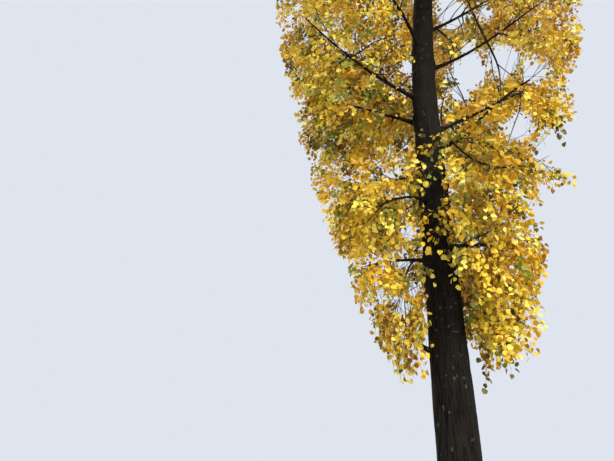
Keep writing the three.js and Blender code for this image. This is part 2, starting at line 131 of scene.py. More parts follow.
class Limb:  # a bough's line from the trunk's centre, share 0, to the outline of the crown, share 1
    def __init__(self, height, turn, rise, tipRise):
        self.height = height
        self.out = np.array([math.cos(turn * radians), math.sin(turn * radians), 0])
        self.side = np.array([-self.out[1], self.out[0], 0])
        self.slope = math.tan(rise * radians)
        self.tipSlope = math.tan(tipRise * radians)
        self.run = float(crownReach(height))
        for _ in range(12):  # the run and the tip's height settle together
            tip = height + (self.slope + self.tipSlope) / 2 * self.run
            self.run = mix(self.run, boughRule["outlineShare"] * float(crownReach(tip)), 0.5)
        self.start = trunkCentre(height)
        self.wander = boughRule["wander"] * self.run * math.sin(boughRule["wanderSeed"] * height)

    def pointAt(self, share):
        share = np.asarray(share, float)[..., None]
        climb = self.run * (self.slope * share + (self.tipSlope - self.slope) * share ** 2 / 2)
        drift = self.wander * np.sin(1.5 * np.pi * share)
        return self.start + self.out * self.run * share + self.side * drift + climb * np.array([0, 0, 1])

    def radiusAt(self, share):
        fromBark = np.maximum(0, self.run * share - trunkRadius(self.height))
        collar = 1 + boughRule["collarSwell"] * np.exp(-fromBark / boughRule["collarLength"])
        root = boughRule["rootRadius"] + boughRule["slenderness"] * self.run
        return collar * (boughRule["tipRadius"] + root * np.maximum(1 - share, 0) ** boughRule["taper"])


class Shoot(Limb):  # the leading shoot above the trunk's own tip
    def __init__(self):
        self.height = stem["top"]
        self.out = np.array([1.0, 0, 0])
        self.side = np.array([0, 1.0, 0])
        self.run = (stem["height"] - stem["top"]) * shootRule["share"]
        self.start = trunkCentre(stem["top"])

    def pointAt(self, share):
        share = np.asarray(share, float)[..., None]
        lean = np.array([shootRule["lean"], 0, 0])
        return self.start + lean * share ** 2 + np.array([0, 0, self.run]) * share

    def radiusAt(self, share):
        return mix(shootRule["radius"], shootRule["tipRadius"], share)


class Mass:  # a mass of foliage and the space that it keeps to
    def __init__(self, number, name, limb, middle, half, bare, hang=0):
        self.number, self.name, self.limb, self.bare, self.hang = number, name, limb, bare, hang
        self.middle = limb.pointAt(middle)
        self.middle[2] -= hang * massRule["hangDrop"]
        self.half = np.array(half)
        self.size = float(self.half @ [1, 1, crown["flatness"]]) / 3


def growForm():
    limbs = [Limb(*row) for row in lowBoughs]
    for count in range(upperRule["count"]):
        height = upperRule["start"] + upperRule["step"] * count
        lift = upperRule["riseStep"] * count
        turn = upperRule["turn"] + goldenTurn / radians * count
        limbs.append(Limb(height, turn, upperRule["rise"] + lift, upperRule["tipRise"] + lift))
    leaders = []
    for count in range(leaderRule["count"]):
        turn = upperRule["turn"] + goldenTurn / radians * (upperRule["count"] + count)
        height = leaderRule["start"] + leaderRule["step"] * count
        leaders.append(Limb(height, turn, leaderRule["rise"] + count, leaderRule["tipRise"] + count))
    masses = []
    long, wide, high = massRule["half"]
    for number, limb in enumerate(limbs + leaders):
        onTrunk = limb in leaders
        hang = 0 if onTrunk else max(0, (massRule["hangFrom"] - limb.height) / massRule["hangOver"])
        reach = (massRule["leaderLong"] if onTrunk else long) * limb.run
        half = (reach, max(wide * limb.run, massRule["least"]),
                max(high * limb.run, massRule["least"]) + hang * massRule["hangStretch"])
        kind, count = ("leader", number - len(limbs)) if onTrunk else ("bough", number)
        middle = massRule["leaderMiddle"] if onTrunk else massRule["middle"]
        bare = trunkRadius(limb.height) / limb.run if onTrunk else boughRule["bareShare"]
        masses.append(Mass(number, f"foliage_{kind}_{count + 1:02d}", limb, middle, half, bare, hang))
    half = [part * (stem["height"] - stem["top"]) for part in shootRule["half"]]
    masses.append(Mass(len(masses), "foliage_top", Shoot(), shootRule["middle"], half, shootRule["bare"]))
    return limbs, leaders, masses


limbs, leaders, masses = growForm()
massMiddles = np.array([mass.middle for mass in masses])
massSizes = np.array([mass.size for mass in masses])
print("stage: form worked out,", len(limbs), "boughs,", len(masses), "masses")


def pulls(spots):  # how near each spot is to each mass, spots down and masses across
    away = spots[:, None, :] - massMiddles[None, :, :]
    away[..., 2] *= crown["flatness"]
    return np.sum(away ** 2, axis=-1) - massSizes[None, :] ** 2


def inSlot(spots):  # the narrow gap in the crown that shows the trunk from the photo's side
    away = spots - trunkCentre(spots[:, 2])
    turn = crown["slotTurn"] * radians
    ahead = away[:, 0] * math.cos(turn) + away[:, 1] * math.sin(turn)
    aside = away[:, 0] * math.sin(turn) - away[:, 1] * math.cos(turn)
    high = (spots[:, 2] > crown["slotFrom"]) & (spots[:, 2] < crown["slotTo"])
    return high & (ahead > 0) & (np.abs(aside) < crown["slotHalfWidth"])


def inSpace(number, spots):
    mass = masses[number]
    away = spots - mass.middle
    place = np.stack([dot(away, mass.limb.out), dot(away, mass.limb.side), away[:, 2]], axis=-1) / mass.half
    place[place[:, 2] < 0, 2] /= 1 + massRule["hangBelow"] * mass.hang
    inside = (np.linalg.norm(place, axis=-1) <= 1) & ~inSlot(spots)
    if mass.name != "foliage_top":
        inside &= fromTrunk(spots) <= crown["slack"] * crownReach(spots[:, 2]) + crown["room"]
    pull = pulls(spots)
    apart = 2 * np.linalg.norm(massMiddles - mass.middle, axis=-1) * crown["flatness"]
    nearer = pull - pull[:, [number]] > crown["margin"] * apart[None, :]
    nearer[:, number] = True
    return inside & nearer.all(axis=1)


# Where the photo was taken from, and what it shows from there
view = {
    "place": (-1.516, -4.554, 1.6), "pitch": 30.2, "roll": 4.27, "focalPixels": 461,
    "frameWidth": 614, "frameHeight": 461, "sensorWidth": 36, "near": 0.05, "far": 400,
}
skyGaps = [  # column, row and radius in pixels
    (452, 14, 17), (470, 50, 11), (468, 74, 18), (502, 60, 19), (461, 94, 10), (535, 72, 16), (519, 128, 18),
    (548, 150, 19), (486, 14, 8), (406, 68, 8), (409, 232, 9), (403, 264, 9), (382, 299, 9), (400, 306, 13),
    (414, 288, 8),
]
shownBoughs = [  # number, how far out it shows, and how wide the leaves in front are cleared
    (12, 1.0, 7), (14, 0.92, 5), (8, 0.82, 5), (10, 1.0, 6),
    (9, 0.58, 5), (2, 0.49, 5), (1, 0.64, 5), (5, 0.65, 5),
]
trunkCover = [  # row, and the share of the leaves in front of the trunk that stays
    (0, 0.0), (98, 0.08), (110, 0.34), (150, 0.42), (200, 0.34), (245, 0.38), (282, 0.45), (296, 0.0),
]
clearing = {
    "boughs": 0.9, "skyShoots": 0.9, "trunkWide": 1.3, "shadeWide": 2.0,
    "boughFrom": 0.05, "boughPlaces": 40, "limbPlaces": 30,
    "trunkHeights": (1.5, 9.5), "trunkPlaces": 60,
}
shownLimbs = [  # bough, radius at the foot, how wide the leaves in front are cleared, places it runs through
    (12, 0.020, 4, [(1.04, 0.04, 7.89), (1.0, 0.07, 8.17), (0.94, 0.1, 8.67), (0.87, 0.13, 9.17),
        (0.85, 0.15, 9.72)]),
    (12, 0.018, 4, [(1.04, 0.04, 7.89), (1.08, -0.01, 7.5), (1.1, -0.05, 7.15),
        (1.06, -0.05, 6.85), (1.02, -0.06, 6.54)]),
    (12, 0.008, 3, [(1.1, -0.03, 7.29), (1.17, -0.03, 7.19), (1.26, -0.05, 7.04), (1.36, -0.07, 6.84)]),
    (14, 0.024, 5, [(0.33, 0.2, 8.35), (0.45, 0.12, 8.04), (0.54, 0.05, 7.76), (0.59, -0.02, 7.46)]),
    (14, 0.011, 4, [(0.61, 0.33, 8.71), (0.75, 0.3, 8.99), (0.93, 0.25, 9.22), (1.08, 0.21, 9.43)]),
    (14, 0.009, 3, [(0.83, 0.43, 9.01), (0.85, 0.42, 8.87), (0.87, 0.41, 8.59), (0.86, 0.41, 8.34)]),
    (8, 0.014, 5, [(0.23, 0.11, 6.07), (0.21, 0.11, 6.35), (0.29, 0.08, 6.67), (0.4, 0.03, 7.02)]),
    (8, 0.009, 3, [(0.32, 0.12, 6.14), (0.42, 0.12, 6.01), (0.51, 0.11, 5.92), (0.62, 0.1, 5.87)]),
    (8, 0.010, 3, [(1.44, 0.14, 6.93), (1.41, 0.16, 6.64), (1.27, 0.25, 6.3), (1.12, 0.33, 5.85)]),
    (7, 0.015, 5, [(0.23, -0.15, 5.61), (0.4, -0.15, 5.37), (0.64, -0.2, 5.2),
        (0.87, -0.25, 5.18), (1.09, -0.31, 5.18), (1.29, -0.37, 5.31)]),
    (2, 0.012, 4, [(0.24, 0.01, 4.2), (0.37, -0.02, 4.28), (0.51, -0.05, 4.34),
        (0.66, -0.09, 4.43), (0.79, -0.13, 4.51)]),
    (10, 0.011, 4, [(-1.08, -0.12, 7.09), (-0.95, -0.14, 7.18), (-0.75, -0.17, 7.41),
        (-0.6, -0.19, 7.52), (-0.41, -0.24, 7.37), (-0.24, -0.29, 7.11)]),
    (10, 0.010, 4, [(-0.4, 0.0, 6.66), (-0.29, -0.02, 6.78), (-0.19, -0.05, 6.9), (-0.12, -0.07, 7.03)]),
    (10, 0.010, 4, [(-0.4, 0.0, 6.66), (-0.51, -0.01, 6.52), (-0.64, -0.01, 6.36), (-0.78, -0.02, 6.17)]),
    (10, 0.009, 3, [(-0.75, -0.06, 6.86), (-0.54, -0.1, 6.81), (-0.42, -0.13, 6.87), (-0.33, -0.15, 7.04)]),
    (10, 0.009, 3, [(-1.1, -0.12, 7.11), (-1.27, -0.11, 6.92), (-1.37, -0.11, 6.77), (-1.47, -0.1, 6.52)]),
    (5, 0.009, 3, [(-0.57, -0.33, 4.54), (-0.68, -0.31, 4.51), (-0.78, -0.29, 4.38), (-0.88, -0.27, 4.23)]),
    (2, 0.008, 0, [(0.38, -0.03, 4.21), (0.39, -0.03, 3.78), (0.39, -0.03, 3.36), (0.38, -0.02, 3.29)]),
    (2, 0.008, 0, [(0.66, -0.12, 4.15), (0.7, -0.13, 3.8), (0.73, -0.13, 3.45), (0.74, -0.13, 3.34)]),
    (2, 0.008, 0, [(0.52, -0.07, 4.19), (0.54, -0.08, 3.71), (0.54, -0.08, 3.37), (0.54, -0.07, 3.32)]),
    (3, 0.008, 0, [(-0.06, -0.51, 4.51), (-0.1, -0.54, 4.84), (-0.16, -0.55, 5.25), (-0.19, -0.58, 5.66)]),
    (3, 0.007, 0, [(-0.06, -0.51, 4.51), (-0.02, -0.56, 4.22), (0.03, -0.58, 3.9), (0.05, -0.58, 3.66)]),
]


def viewAxes():  # right, up and forward, as the photo was taken
    pitch, roll = view["pitch"] * radians, view["roll"] * radians
    level = np.array([1, 0, 0])
    upward = np.array([0, -math.sin(pitch), math.cos(pitch)])
    right = level * math.cos(roll) + upward * math.sin(roll)
    up = upward * math.cos(roll) - level * math.sin(roll)
    return right, up, np.array([0, math.cos(pitch), math.sin(pitch)])


def seenFrom(spots):  # columns, rows and distances of spots as the photo shows them
    right, up, forward = viewAxes()
    away = spots - np.array(view["place"])
    ahead = np.maximum(dot(away, forward), view["near"])
    columns = view["frameWidth"] / 2 + view["focalPixels"] * dot(away, right) / ahead
    rows = view["frameHeight"] / 2 - view["focalPixels"] * dot(away, up) / ahead
    return columns, rows, ahead


def hidesSky(spots):  # 0 to 1, how surely a leaf is left out because the photo shows sky there
    columns, rows, _ = seenFrom(spots)
    hides = np.zeros(len(spots))
    for column, row, radius in skyGaps:
        hides = np.maximum(hides, np.exp(-(np.hypot(columns - column, rows - row) / radius) ** 4))
    return hides


def clearedLines():  # the lines that the photo shows, each with the width that is cleared in front
    for number, outTo, width in shownBoughs:
        shares = np.linspace(clearing["boughFrom"], outTo, clearing["boughPlaces"])
        yield limbs[number - 1].pointAt(shares), width
    for _, _, width, places in shownLimbs:
        steps = np.linspace(0, len(places) - 1, clearing["limbPlaces"])
        line = [np.interp(steps, range(len(places)), axis) for axis in zip(*places)]
        if width:
            yield np.stack(line, axis=1), width


def hidesBoughs(spots):
    columns, rows, ahead = seenFrom(spots)
    hides = np.zeros(len(spots))
    for line, width in clearedLines():
        for column, row, far in zip(*seenFrom(line)):
            near = np.exp(-(np.hypot(columns - column, rows - row) / width) ** 4)
            hides = np.maximum(hides, np.where(ahead < far, clearing["boughs"] * near, 0))
    return hides


def overTrunk(spots, wide):  # how far a leaf hangs in front of the trunk, 0 to 1, and its row
    columns, rows, ahead = seenFrom(spots)
    heights = np.linspace(*clearing["trunkHeights"], clearing["trunkPlaces"])
    trunkColumns, trunkRows, trunkAhead = seenFrom(trunkCentre(heights))
    column = np.interp(rows, trunkRows[::-1], trunkColumns[::-1])
    far = np.interp(rows, trunkRows[::-1], trunkAhead[::-1])
    width = view["focalPixels"] * np.interp(rows, trunkRows[::-1], trunkRadius(heights)[::-1]) / far
    return np.exp(-(np.abs(columns - column) / (wide * width)) ** 6) * (ahead < far), rows


def hidesTrunk(spots):
    over, rows = overTrunk(spots, clearing["trunkWide"])
    return over * (1 - np.interp(rows, *np.array(trunkCover).T))


# Every limb as a chain of short straight lengths, which twigs and leaves keep clear of
chainShares = np.linspace(0, 1, 11)
chains = np.array([mass.limb.pointAt(chainShares) for mass in masses])
chainFrom = chains[:, :-1].reshape(-1, 3)
chainAlong = chains[:, 1:].reshape(-1, 3) - chainFrom
chainRadius = np.concatenate([mass.limb.radiusAt(chainShares)[:-1] for mass in masses])


def clearOfLimbs(spots, room):
    free = (fromTrunk(spots) > trunkRadius(spots[:, 2]) + room) | (spots[:, 2] > stem["top"] + room)
    away = spots[:, None] - chainFrom
    share = np.clip(dot(away, chainAlong) / dot(chainAlong, chainAlong), 0, 1)
    gap = np.linalg.norm(away - share[..., None] * chainAlong, axis=-1)
    return free & (gap > chainRadius + room).all(axis=1)


# Materials
class Value:  # an output socket that takes part in sums, for masks and heights
    def __init__(self, shader, socket):
        self.shader = shader
        self.socket = socket

    def sum(self, operation, first, second):
        return self.shader.node("ShaderNodeMath", {"operation": operation}, {0: first, 1: second})

    def __add__(self, other):
        return self.sum("ADD", self, other)

    def __sub__(self, other):
        return self.sum("SUBTRACT", self, other)

    def __rsub__(self, other):
        return self.sum("SUBTRACT", other, self)

    def __mul__(self, other):
        return self.sum("MULTIPLY", self, other)

    __radd__ = __add__
    __rmul__ = __mul__


class Shader:  # one material with its nodes
    def __init__(self, name, finish):
        self.material = bpy.data.materials.new(name)
        self.material.use_nodes = True
        self.tree = self.material.node_tree
        self.surface = self.tree.nodes["Principled BSDF"]
        for socket, value in finish.items():
            self.feed(self.surface.inputs[socket], value)

    def feed(self, socket, value):
        if isinstance(value, Value):
            self.tree.links.new(value.socket, socket)
        else:
            socket.default_value = value

    def node(self, kind, settings, inputs, output=0):
        made = self.tree.nodes.new(kind)
        for name, value in settings.items():
            if name == "stops":
                self.setStops(made.color_ramp, value)
            else:
                setattr(made, name, value)
        for name, value in inputs.items():
            self.feed(made.inputs[name], value)
        return Value(self, made.outputs[output])

    def setStops(self, ramp, stops):
        while len(ramp.elements) < len(stops):
            ramp.elements.new(1)
        for element, (place, colour) in zip(ramp.elements, stops):
            element.position = place
            element.color = (*colour, 1)

    def objectPlace(self, stretch):
        place = self.node("ShaderNodeTexCoord", {}, {}, "Object")
        return self.node("ShaderNodeMapping", {}, {"Vector": place, "Scale": stretch})

    def noise(self, place, scale, detail, roughness):
        inputs = {"Vector": place, "Scale": scale, "Detail": detail, "Roughness": roughness}
        return self.node("ShaderNodeTexNoise", {}, inputs, "Fac")

    def attribute(self, name):
        return self.node("ShaderNodeAttribute", {"attribute_name": name}, {}, "Fac")

    def ramp(self, value, stops):  # greys at places along the value
        stops = [(place, (grey, grey, grey)) for place, grey in stops]
        return self.node("ShaderNodeValToRGB", {"stops": stops}, {"Fac": value})

    def blend(self, share, one, two, how="MIX"):
        settings = {"data_type": "RGBA", "blend_type": how}
        return self.node("ShaderNodeMix", settings, {"Factor": share, 6: one, 7: two}, 2)


# The bark colours of trunk and limbs are the bark's own dark brown-grey, made darker still as painted shade
# of a trunk lit from behind
barkLook = {
    "stretch": (1, 1, 0.16), "grain": 85, "patches": 1.7, "speck": 30, "lichen": 17,
    "ridge": (0.0135, 0.0108, 0.0082, 1), "furrow": (0.003, 0.0024, 0.002, 1),
    "scar": (0.002, 0.0016, 0.0014, 1), "roughness": 0.9, "roughVary": 0.1, "sheen": 0.12,
    "grey": (0.0175, 0.0157, 0.0122, 1), "greyStops": [(0.44, 0), (0.66, 1)], "greyShare": 0.7,
    "pale": (0.085, 0.08, 0.066, 1), "paleStops": [(0.665, 0), (0.70, 1)], "paleShare": 0.7,
    "toneStops": [(0.3, 0.5), (0.72, 1.25)], "toneShare": 0.8,
    "grainHeight": 0.7, "speckHeight": 0.3, "bumpStrength": 0.8, "bumpDepth": 0.005,
}
limbLook = {**barkLook, "ridge": (0.015, 0.012, 0.0093, 1), "paleShare": 0.2}
twigLook = ((0.018, 0.0135, 0.0105), 0.8, 0.3)  # colour, roughness and specular level
leafLook = (0.52, 0.35)  # roughness and specular level


def makeBark(name, look):
    shader = Shader(name, {"Specular IOR Level": look["sheen"]})
    long = shader.objectPlace(look["stretch"])
    even = shader.objectPlace((1, 1, 1))
    grain = shader.noise(long, look["grain"], 6, 0.62)
    patches = shader.noise(even, look["patches"], 3, 0.55)
    speck = shader.noise(even, look["speck"], 4, 0.7)
    greyness = shader.ramp(patches, look["greyStops"])
    colour = shader.blend(greyness * look["greyShare"], look["ridge"], look["grey"])
    colour = shader.blend(look["toneShare"], colour, shader.ramp(grain, look["toneStops"]), "MULTIPLY")
    colour = shader.blend(shader.attribute("furrow"), colour, look["furrow"])
    lichen = shader.ramp(shader.noise(even, look["lichen"], 2, 0.5), look["paleStops"])
    colour = shader.blend(lichen * look["paleShare"], colour, look["pale"])
    colour = shader.blend(shader.attribute("scar"), colour, look["scar"])
    height = look["grainHeight"] * grain + look["speckHeight"] * speck
    relief = {"Strength": look["bumpStrength"], "Distance": look["bumpDepth"], "Height": height}
    fed = {
        "Base Color": colour,
        "Roughness": look["roughness"] + look["roughVary"] * (speck - 0.5),
        "Normal": shader.node("ShaderNodeBump", {}, relief),
    }
    for socket, value in fed.items():
        shader.feed(shader.surface.inputs[socket], value)
    return shader.material


def makePlain(name, colour, roughness, specular):
    finish = {"Base Color": (*colour, 1), "Roughness": roughness, "Specular IOR Level": specular}
    return Shader(name, finish).material


# Modelling by hand: everything is deselected before a primitive is added
def deselect():
    if bpy.context.object and bpy.context.object.mode != "OBJECT":
        bpy.ops.object.mode_set(mode="OBJECT")
    bpy.ops.object.select_all(action="DESELECT")


def selectOnly(piece):
    deselect()
    piece.select_set(True)
    bpy.context.view_layer.objects.active = piece


def straightTube(name, steps, radii, sides):
    deselect()
    bpy.ops.mesh.primitive_circle_add(vertices=sides, radius=radii[0], fill_type="NGON", location=(0, 0, 0))
    piece = bpy.context.object
    piece.name = name
    bpy.ops.object.mode_set(mode="EDIT")
    bpy.ops.mesh.select_all(action="SELECT")
    for low, high, narrow, wide in zip(steps, steps[1:], radii[1:], radii):
        bpy.ops.mesh.extrude_region_move(TRANSFORM_OT_translate={"value": (0, 0, high - low)})
        ratio = narrow / wide
        bpy.ops.transform.resize(value=(ratio, ratio, 1), center_override=(0, 0, high - steps[0]))
    bpy.ops.mesh.select_all(action="SELECT")
    bpy.ops.mesh.normals_make_consistent(inside=False)
    bpy.ops.object.mode_set(mode="OBJECT")
    return piece


def subdivided(piece, levels):
    selectOnly(piece)
    modifier = piece.modifiers.new("finer", "SUBSURF")
    modifier.subdivision_type = "SIMPLE"
    modifier.levels = levels
    modifier.render_levels = levels
    bpy.ops.object.modifier_apply(modifier="finer")
    return piece


def spotsOf(piece):
    spots = np.zeros(len(piece.data.vertices) * 3)
    piece.data.vertices.foreach_get("co", spots)
    return spots.reshape(-1, 3)


def setSpots(piece, spots):
    piece.data.vertices.foreach_set("co", spots.ravel())
    piece.data.update()


def setAttribute(piece, name, values):
    layer = piece.data.attributes.new(name, "FLOAT", "POINT")
    layer.data.foreach_set("value", np.asarray(values, np.float32))


def smooth(piece, angle=60):
    selectOnly(piece)
    bpy.ops.object.shade_smooth_by_angle(angle=angle * radians)


def finish(piece, slot, nodes=()):
    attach(piece, "root")
    if nodes:
        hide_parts(*nodes)


def noiseAt(spots, seed):
    shift = Vector((seed * 7.3, seed * 3.1, seed * 5.7))
    return np.array([noise.noise(Vector(spot) + shift) for spot in spots])


# Trunk
trunkMesh = {"sides": 48, "rings": 110, "crowding": 1.5, "levels": 2, "skinFrom": 0.9}
trunkRelief = {
    "furrowGap": 0.031, "furrowLong": 0.42, "furrowWidth": 0.115, "warp": 0.4, "warpScale": (0.4, 0.4, 1.3),
    "depthLow": 0.013, "depthHigh": 0.0014, "fullRadius": 0.12, "furrowDark": 0.25,
    "fadeFrom": 1.2, "fadeOver": 5.5, "fadePower": 1.2,  # furrows fade up the trunk
    "fine": 0.0025, "fineScale": (2.1, 2.1, 2.6), "fineWidth": 0.16, "fineHigh": 0.3, "fineDark": 0.2,
    "waves": 0.012, "waveLong": 0.55, "waveAround": 1.4,
    "collar": 0.022, "collarRadius": 0.10, "collarRun": 2.5, "collarAbove": 0.8, "collarBelow": 1.5,
}
scarRule = {  # scars where limbs have fallen: a raised rim round a dark pit, under a dark brow
    "count": 26, "heights": (1.6, 15.5), "scales": (0.6, 1.25), "radius": 0.034, "swell": 0.009,
    "wide": 1.35, "rimSharp": 5, "pit": 0.8, "pitReach": 0.6, "darkReach": 0.75,
    "browWide": 2.4, "browLift": 0.03, "browDark": 0.6, "browSharp": 14,
}


def furrowsAt(angle, height, radius):
    rule = trunkRelief
    across = radius / rule["furrowGap"]
    spots = np.stack([across * np.cos(angle), across * np.sin(angle), height / rule["furrowLong"]], axis=-1)
    warp = rule["warp"] * noiseAt(spots * rule["warpScale"], 1)
    lines = noiseAt(spots + warp[:, None] * [1, 1, 0], 2)
    finer = noiseAt(spots * rule["fineScale"] + warp[:, None], 3)
    return np.exp(-(lines / rule["furrowWidth"]) ** 2), np.exp(-(finer / rule["fineWidth"]) ** 2)


def scarsOnTrunk():  # their heights, turns and sizes
    ranges = (scarRule["heights"], (0, 2 * np.pi), scarRule["scales"])
    return zip(*[rng.uniform(*limits, scarRule["count"]) for limits in ranges])


def trunkSurface(height, angle):
    rule = trunkRelief
    foot = np.exp(-height / stem["flareHeight"])
    lobes = 1 + stem["lobeDepth"] * np.sin(stem["rootLobes"] * -angle + stem["lobeTurn"] * radians)
    radius = trunkRadius(height) + foot * stem["flareSpread"] * lobes * trunkRadius(height) / trunkRadius(0)
    main, fine = furrowsAt(angle, height, radius)
    fade = np.clip(1 - (height - rule["fadeFrom"]) / rule["fadeOver"], 0, 1)
    full = np.minimum(1, radius / rule["fullRadius"])
    depth = mix(rule["depthHigh"], rule["depthLow"], fade ** rule["fadePower"]) * full
    across = rule["waveAround"]
    around = np.stack([np.cos(angle) * across, np.sin(angle) * across, height / rule["waveLong"]], axis=-1)
    relief = rule["waves"] * noiseAt(around, 4) - depth * main
    relief -= rule["fine"] * fine * (rule["fineHigh"] + fade)

    def asideFrom(turn):  # how far round the bark from a turn
        return radius * np.angle(np.exp(1j * (angle - turn)))

    for limb in limbs + leaders:
        aside = asideFrom(math.atan2(limb.out[1], limb.out[0]))
        above = height - (limb.height + limb.slope * trunkRadius(limb.height))
        above = np.where(above > 0, above / rule["collarAbove"], above / rule["collarBelow"])
        swell = rule["collar"] * min(1, limb.run / rule["collarRun"])
        relief += swell * np.exp(-(aside ** 2 + above ** 2) / rule["collarRadius"] ** 2)
    scar = np.zeros_like(height)
    for high, turn, scale in scarsOnTrunk():
        aside = asideFrom(turn)
        size = scarRule["radius"] * scale
        reach = np.hypot(aside / scarRule["wide"], height - high) / size
        brow = np.hypot(aside / scarRule["browWide"], height - high - scarRule["browLift"] * scale) / size
        rim = np.exp(-(reach - 1) ** 2 * scarRule["rimSharp"])
        pit = scarRule["pit"] * np.exp(-(reach / scarRule["pitReach"]) ** 2)
        relief += scarRule["swell"] * scale * (rim - pit)
        browDark = scarRule["browDark"] * np.exp(-(brow - 1) ** 2 * scarRule["browSharp"]) * (height > high)
        scar = np.maximum(scar, np.maximum(np.exp(-(reach / scarRule["darkReach"]) ** 4), browDark))
    furrow = np.clip(main * mix(rule["furrowDark"], 1, fade) + rule["fineDark"] * fine, 0, 1)
    return radius + relief, furrow, scar


def addTrunk(bark):
    shares = np.linspace(0, 1, trunkMesh["rings"] + 1) ** trunkMesh["crowding"]
    steps = [float(share * stem["top"]) for share in shares]
    radii = [float(trunkRadius(step)) for step in steps]
    trunk = subdivided(straightTube("trunk_bark", steps, radii, trunkMesh["sides"]), trunkMesh["levels"])
    spots = spotsOf(trunk)
    height = spots[:, 2]
    share = np.hypot(spots[:, 0], spots[:, 1]) / np.maximum(trunkRadius(height), 1e-6)
    angle = np.arctan2(spots[:, 1], spots[:, 0])
    radius, furrow, scar = trunkSurface(height, angle)
    radius = np.where(share > trunkMesh["skinFrom"], radius, radius * share)
    around = np.stack([np.cos(angle), np.sin(angle), 0 * angle], axis=-1)
    setSpots(trunk, trunkCentre(height) + around * radius[:, None])
    setAttribute(trunk, "furrow", furrow)
    setAttribute(trunk, "scar", scar)
    trunk.data.materials.append(bark)
    smooth(trunk)
    finish(trunk, "trunk_bark", ["trunk"])


# Boughs, each one whole from inside the trunk to its tip
boughMesh = {
    "sides": 8, "rings": 26, "crowding": 1.25, "levels": 1, "sunk": 0.55, "shootSunk": 0.02, "end": 0.9,
}
boughRelief = {
    "lumps": 0.16, "lumpLong": 0.16, "lumpAround": 0.6, "scars": 0.20, "scarFrom": 0.1, "scarGap": 0.055,
    "darkFrom": 0.22, "darkOver": 0.25, "darkShare": 0.55,
    "fineScale": 22.8, "fineWidth": 0.2, "furrowPart": 0.35,
}


def layAlong(piece, limb, start):
    spots = spotsOf(piece)
    share = start + spots[:, 2] * (boughMesh["end"] - start)
    ahead = unit(limb.pointAt(share + 0.01) - limb.pointAt(share - 0.01))
    across = unit(limb.side - dot(ahead, limb.side)[:, None] * ahead)
    over = np.cross(across, ahead)
    angle = np.arctan2(spots[:, 1], spots[:, 0])
    off = np.hypot(spots[:, 0], spots[:, 1])
    radius = limb.radiusAt(share)
    centre = limb.pointAt(share)
    around = across * np.cos(angle)[:, None] + over * np.sin(angle)[:, None]
    skin = centre + around * radius[:, None]
    rule = boughRelief
    lumps = noiseAt(skin / rule["lumpLong"] + around * rule["lumpAround"], 5)
    along = np.stack([share * limb.run / rule["scarGap"], angle * 0, angle * 0], axis=-1)
    ringed = noiseAt(along + limb.height, 6)
    swell = 1 + rule["lumps"] * lumps + rule["scars"] * np.clip(ringed - rule["scarFrom"], 0, 1)
    setSpots(piece, centre + around * (radius * swell * off)[:, None])
    fine = noiseAt(skin * rule["fineScale"], 7)
    setAttribute(piece, "furrow", rule["furrowPart"] * np.exp(-(fine / rule["fineWidth"]) ** 2))
    dark = np.clip((ringed - rule["darkFrom"]) / rule["darkOver"], 0, 1)
    setAttribute(piece, "scar", rule["darkShare"] * dark)


def addBoughs(bark):
    parts = []
    steps = [float(step) for step in np.linspace(0, 1, boughMesh["rings"] + 1) ** boughMesh["crowding"]]
    radii = [1.0] * len(steps)
    for number, limb in enumerate([mass.limb for mass in masses]):
        tube = straightTube(f"bough_line_{number + 1:02d}", steps, radii, boughMesh["sides"])
        subdivided(tube, boughMesh["levels"])
        start = boughMesh["sunk"] * float(trunkRadius(limb.height)) / limb.run
        layAlong(tube, limb, -boughMesh["shootSunk"] if isinstance(limb, Shoot) else start)
        parts.append(tube)
    deselect()
    for part in parts:
        part.select_set(True)
    bpy.context.view_layer.objects.active = parts[0]
    bpy.ops.object.join()
    boughs = bpy.context.object
    boughs.name = "boughs"
    boughs.data.materials.clear()
    boughs.data.materials.append(bark)
    smooth(boughs)
    finish(boughs, "limb_bark", [f"bough_{number + 1:02d}" for number in range(len(limbs))])


# The broken stub of a dead twig, low on the left
stubRule = {
    "height": 2.88, "turn": 186, "rise": 24, "length": 0.3, "radius": 0.024, "foot": 1.35, "footTo": 0.24,
    "sides": 10, "rings": 8, "jag": 0.024, "jagFrom": 0.93, "jagScale": 60, "lumps": 0.12, "lumpScale": 26,
    "furrow": 0.35, "brokenDark": 0.5,
}


def addStub(bark):
    rule = stubRule
    steps = [float(step) for step in np.linspace(0, rule["length"], rule["rings"] + 1)]
    radii = [rule["radius"] * (rule["foot"] if step < rule["footTo"] else 1.0) for step in steps]
    stub = subdivided(straightTube("stub", steps, radii, rule["sides"]), 1)
    spots = spotsOf(stub)
    jag = rule["jag"] * noiseAt(spots * [rule["jagScale"], rule["jagScale"], 0], 8)
    top = spots[:, 2] > rule["length"] * rule["jagFrom"]
    spots[:, 2] += np.where(top, jag, 0)
    spots[:, :2] *= (1 + rule["lumps"] * noiseAt(spots * rule["lumpScale"], 9))[:, None]
    turn = rule["turn"] * radians
    out = Vector((math.cos(turn), math.sin(turn), math.tan(rule["rise"] * radians)))
    turned = np.array(out.to_track_quat("Z", "Y").to_matrix())
    setSpots(stub, spots @ turned.T + trunkCentre(rule["height"]))
    setAttribute(stub, "furrow", np.full(len(spots), rule["furrow"]))
    setAttribute(stub, "scar", np.where(top, rule["brokenDark"], 0.0))
    stub.data.materials.append(bark)
    smooth(stub)
    finish(stub, "trunk_bark")


